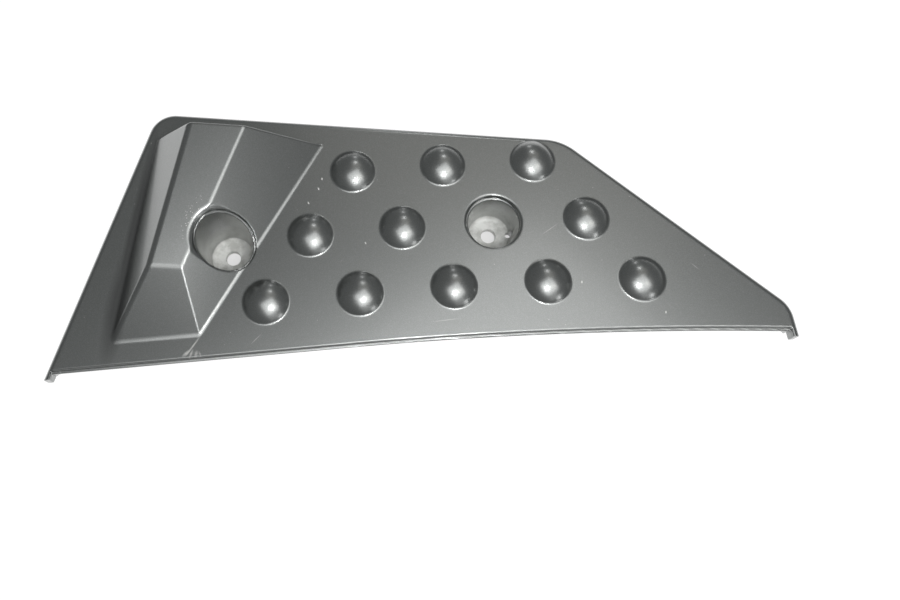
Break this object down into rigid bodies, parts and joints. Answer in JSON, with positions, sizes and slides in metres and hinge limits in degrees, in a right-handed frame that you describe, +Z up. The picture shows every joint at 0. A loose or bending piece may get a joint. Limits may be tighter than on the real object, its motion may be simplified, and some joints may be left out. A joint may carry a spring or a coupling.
{
  "type": "scooter floorboard panel",
  "caption": "Left floorboard panel of a scooter: a moulded tread plate with domed grip studs, a faceted raised block, tapered screw cups and a turned-down flange.",
  "frame": {"origin": "centre of the screw hole in the cup that stands in the raised block, on the underside of that cup", "axes": "+X from that hole through the second screw hole, +Z up out of the cups, +Y towards the rear edge"},
  "size_m": [0.3349, 0.1353, 0.046],
  "materials": {
    "painted_shell": "injection moulded plastic under satin-gloss dark silver metallic paint"
  },
  "bodies": {
    "root": {"floor_panel": "painted_shell"}
  },
  "joints": []
}
